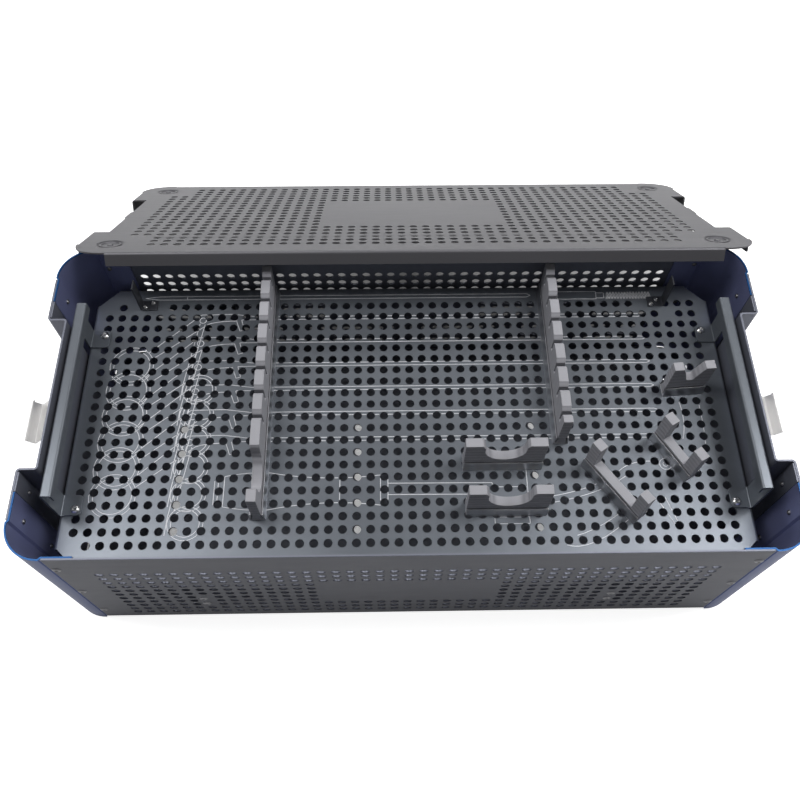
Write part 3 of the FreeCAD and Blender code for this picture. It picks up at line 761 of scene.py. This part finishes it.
def otherTools():
    # Spring rod at the back, a stepped handle in front of it, a cleaning stem and a bent hook on the right
    s = printSettings
    high, low = s["rod"]["y"]
    left, right = s["rod"]["x"]
    turns = 15
    width = (s["springTo"] - s["springFrom"]) / turns
    coil = [(s["springFrom"] + (i / 2) * width, (104.6, 111.8)[i % 2]) for i in range(2 * turns + 1)]
    coilB = [(x + 0.9, y) for x, y in coil]
    return [
        [(left - 12.0, 109.0), (left, high), (right, high), (right + 3.0, 109.0), (right, low), (left, low),
         (left - 12.0, 109.0)],
        [(left + 22.0, high), (left + 22.0, low)],
        [(126.0, 112.2), (158.0, 112.2), (158.0, 104.9), (126.0, 104.9), (126.0, 112.2)],
        [(158.0, 110.8), (164.4, 110.8), (164.4, 105.8), (158.0, 105.8)], coil, coilB,
        bow((-133.0, -48.5), (-116.0, -45.0), (-100.0, -46.0))
        + bow((-100.0, -46.0), (-62.0, -53.5), (-19.4, -48.6)),
        bow((-133.0, -72.0), (-116.0, -75.5), (-100.0, -74.6))
        + bow((-100.0, -74.6), (-60.0, -66.5), (-19.4, -72.0)),
        [(-133.0, -48.5), (-133.0, -72.0)], [(-137.3, -52.0), (-137.3, -70.5)],
        [(-140.0, -52.0), (-140.0, -70.5)], [(-49.0, -51.4), (-49.0, -69.0)],
        [(-19.4, -48.6), (-19.4, -72.0)], [(-14.0, -48.6), (-14.0, -70.0)],
        [(-14.0, -55.2), (62.0, -55.6), (62.0, -59.0), (87.6, -59.0)], [(-14.0, -64.0), (44.0, -64.4)],
        [(87.6, -45.0), (87.6, -63.5)],
        [(62.2, -82.2), (87.2, -82.2), (87.2, -87.2), (62.2, -87.2), (62.2, -82.2)],
        bow((104.0, -66.8), (140.0, -61.0), (158.0, -46.0)),
        bow((103.0, -71.8), (144.0, -65.5), (166.0, -47.5)),
        bow((158.0, -46.0), (168.0, -38.5), (186.0, -40.4)),
        ring(191.2, -42.5, 4.4, 20), ring(191.2, -42.5, 1.9, 14),
        bow((112.0, -103.4), (128.0, -109.0), (158.0, -85.0)),
        bow((120.0, -96.4), (136.0, -92.0), (153.0, -79.6)),
        [(181.2, -70.6), (191.0, -89.7), (192.9, -87.5), (186.6, -68.4)],
        bow((209.9, 9.0), (212.6, -8.0), (207.6, -22.3)), bow((224.8, 6.2), (225.4, -14.0), (223.5, -30.0)),
        bow((223.5, -30.0), (222.0, -42.0), (213.5, -44.3)),
    ]


def trayPrint():
    s = printSettings
    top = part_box("tray_floor")[1].z + s["height"] / 2 * mm
    lines = otherTools()
    for k in range(s["pieces"]):
        lines += graspingTool(s["firstY"] - k * s["pitch"])
    work = bmesh.new()
    for line in lines:
        spots = [work.verts.new((x * mm, y * mm, top)) for x, y in line]
        for a, b in zip(spots, spots[1:]):
            work.edges.new((a, b))
    mesh = bpy.data.meshes.new("trayPrint")
    work.to_mesh(mesh)
    work.free()
    made = addObject("trayPrint", mesh)
    modifier = made.modifiers.new("lines", "NODES")
    modifier.node_group = printTree()
    setInputs(modifier, {
        "Line Width": s["width"] * mm, "Line Height": s["height"] * mm, "Step": s["step"] * mm,
        "Hole Pitch": holeGrid["Pitch X"] * mm, "Shift X": traySettings["shift"] * mm,
        "Hole Radius": (holeGrid["Hole Radius"] + s["holeMargin"]) * mm,
        "Last Row": s["lastRow"] * mm, "Material": materials["printedInk"]})
    made = asPlain(made, "trayPrint")
    made.data.materials.clear()
    made.data.materials.append(materials["printedInk"])
    standFor(made, body="tray", slot="tray_sheet")


trayPrint()
print("tray print done")


# Camera at the photograph's angle
cameraSettings = {"place": (-0.0126, -0.2888, 0.6802), "azimuth": 1.608, "elevation": 62.289, "roll": 0.827,
                  "focalPixels": 848.0, "imagePixels": 800.0, "sensor": 36.0}


def addCamera():
    s = cameraSettings
    data = bpy.data.cameras.new("photoCamera")
    data.sensor_width = s["sensor"]
    data.lens = s["focalPixels"] / s["imagePixels"] * s["sensor"]
    camera = bpy.data.objects.new("photoCamera", data)
    bpy.context.scene.collection.objects.link(camera)
    turn = (Matrix.Rotation(math.radians(-s["azimuth"]), 4, "Z")
            @ Matrix.Rotation(math.radians(90 - s["elevation"]), 4, "X")
            @ Matrix.Rotation(math.radians(s["roll"]), 4, "Z"))
    camera.matrix_world = Matrix.Translation(s["place"]) @ turn
    bpy.context.scene.camera = camera


# Pale floor and soft light; the floor carries painted shadow under the lid and the case
lightSettings = {
    "world": 0.10, "floorTint": 0.80, "floorGlow": 0.85, "mirroredGlow": 0.25,
    "floorReach": 6.0, "floorLevel": -0.3 * mm, "aim": (0.0, 0.05, 0.08),
    "lamps": {
        "topLeft": {"place": (-0.90, 0.20, 1.5), "size": (0.5, 1.1), "power": 12.5},
        "topRight": {"place": (0.92, 0.20, 1.5), "size": (0.5, 1.1), "power": 15.0},
        "topRear": {"place": (0.0, 1.5, 1.2), "size": (1.8, 0.6), "power": 14.0},
        "frontHigh": {"place": (0.0, -0.9, 1.5), "size": (1.4, 0.6), "power": 1.0},
        "leftLow": {"place": (-1.6, 0.1, 0.7), "size": (0.8, 0.8), "power": 1.0},
        "rightLow": {"place": (1.6, 0.1, 0.7), "size": (0.8, 0.8), "power": 4.0},
    },
    # Painted shadow on the floor under the leaning lid, in metres: where it is dim, a lighter painted
    # strip, and how it brightens toward the lid's ends
    "lidShadow": {"near": 0.125, "far": 0.318, "middle": 0.0095, "half": 0.300, "from": 0.235,
                  "taper": 0.50, "lit": (0.186, 0.212), "reach": 0.250, "power": 16.0, "rise": 0.33,
                  "slope": 1.28, "least": 0.065, "dark": 0.12, "darkTint": 0.8},
    # Painted shadow on the floor under the case: its extent in metres, and the glow left there
    "caseShadow": {"halfX": 0.272, "halfY": 0.117, "corner": 0.362, "glow": 0.30},
    "mirrorFade": (0.40, 0.56), "mirrorLeast": 0.25,
}


def addLights():
    s = lightSettings
    for name, one in s["lamps"].items():
        data = bpy.data.lights.new(name, "AREA")
        data.shape = "RECTANGLE"
        data.size, data.size_y = one["size"]
        data.energy = one["power"]
        lamp = bpy.data.objects.new(name, data)
        bpy.context.scene.collection.objects.link(lamp)
        lamp.location = one["place"]
        lamp.rotation_euler = (Vector(s["aim"]) - lamp.location).to_track_quat("-Z", "Y").to_euler()
    world = bpy.data.worlds.new("studio")
    world.use_nodes = True
    world.node_tree.nodes.clear()
    start = Wire(world.node_tree, None)
    path = start.node("ShaderNodeLightPath", out="Is Camera Ray")
    strength = s["world"] + path * (1.0 - s["world"])
    sky = start.node("ShaderNodeBackground", inputs={"Color": (1, 1, 1, 1), "Strength": strength})
    start.node("ShaderNodeOutputWorld", inputs={"Surface": sky})
    bpy.context.scene.world = world


def addFloor():
    s = lightSettings
    mesh = bpy.data.meshes.new("floor")
    reach, level = s["floorReach"], s["floorLevel"]
    mesh.from_pydata([(-reach, -reach, level), (reach, -reach, level), (reach, reach, level),
                      (-reach, reach, level)], [], [(0, 1, 2, 3)])
    floor = addObject("floor", mesh)
    material = bpy.data.materials.new("paleFloor")
    material.use_nodes = True
    material.node_tree.nodes.clear()
    start = Wire(material.node_tree, None)
    path = start.node("ShaderNodeLightPath", out="Is Camera Ray")
    u, v = s["lidShadow"], s["caseShadow"]
    place = start.node("ShaderNodeTexCoord", out="Object")
    x = place.node("ShaderNodeSeparateXYZ", inputs={"Vector": place})
    y = x.other("Y")
    # Painted shadows: the glow is cut under the lid and under the case, with a lighter painted strip and
    # brighter ends under the lid
    span = abs(x - u["middle"])
    width = (y - u["from"]).math("MAXIMUM", y - u["from"], 0.0) * -u["taper"] + u["half"]
    under = (y > u["near"]) * (y < u["far"]) * (span < width)
    steep = span.math("POWER", span * (1 / u["reach"]), u["power"]) * u["rise"]
    ends = steep.math("MINIMUM", span * u["slope"] + steep + u["least"], 1.0)
    lit = (y > u["lit"][0]) * (y < u["lit"][1])
    below = (abs(x) < v["halfX"]) * (abs(y) < v["halfY"]) * (abs(x) + abs(y) < v["corner"])
    paintedShadowGlow = 1.0 - under * (1.0 - ends * (lit * (1.0 - u["dark"]) + u["dark"])) - below * (1.0 - v["glow"])
    low, high = s["mirrorFade"]
    fade = y.node("ShaderNodeMapRange", inputs={
        "Value": y, "From Min": low, "From Max": high, "To Min": 1.0, "To Max": s["mirrorLeast"]})
    seen = path.math("MAXIMUM", path, path.other("Is Transmission Ray"))
    seen = (seen + path.other("Is Glossy Ray") * fade * s["mirroredGlow"]) * paintedShadowGlow
    # Painted shade: the floor's own colour is also darkened under the lid
    tint = blend(start, under * u["darkTint"], (s["floorTint"],) * 3 + (1,), (0.0, 0.0, 0.0, 1.0))
    diffuse = start.node("ShaderNodeBsdfDiffuse", inputs={"Color": tint})
    glow = start.node("ShaderNodeEmission", inputs={"Strength": seen * s["floorGlow"]})
    both = start.node("ShaderNodeAddShader", inputs={0: diffuse, 1: glow})
    start.node("ShaderNodeOutputMaterial", inputs={"Surface": both})
    mesh.materials.append(material)


addCamera()
addLights()
addFloor()
bpy.context.scene.view_settings.view_transform = "Standard"
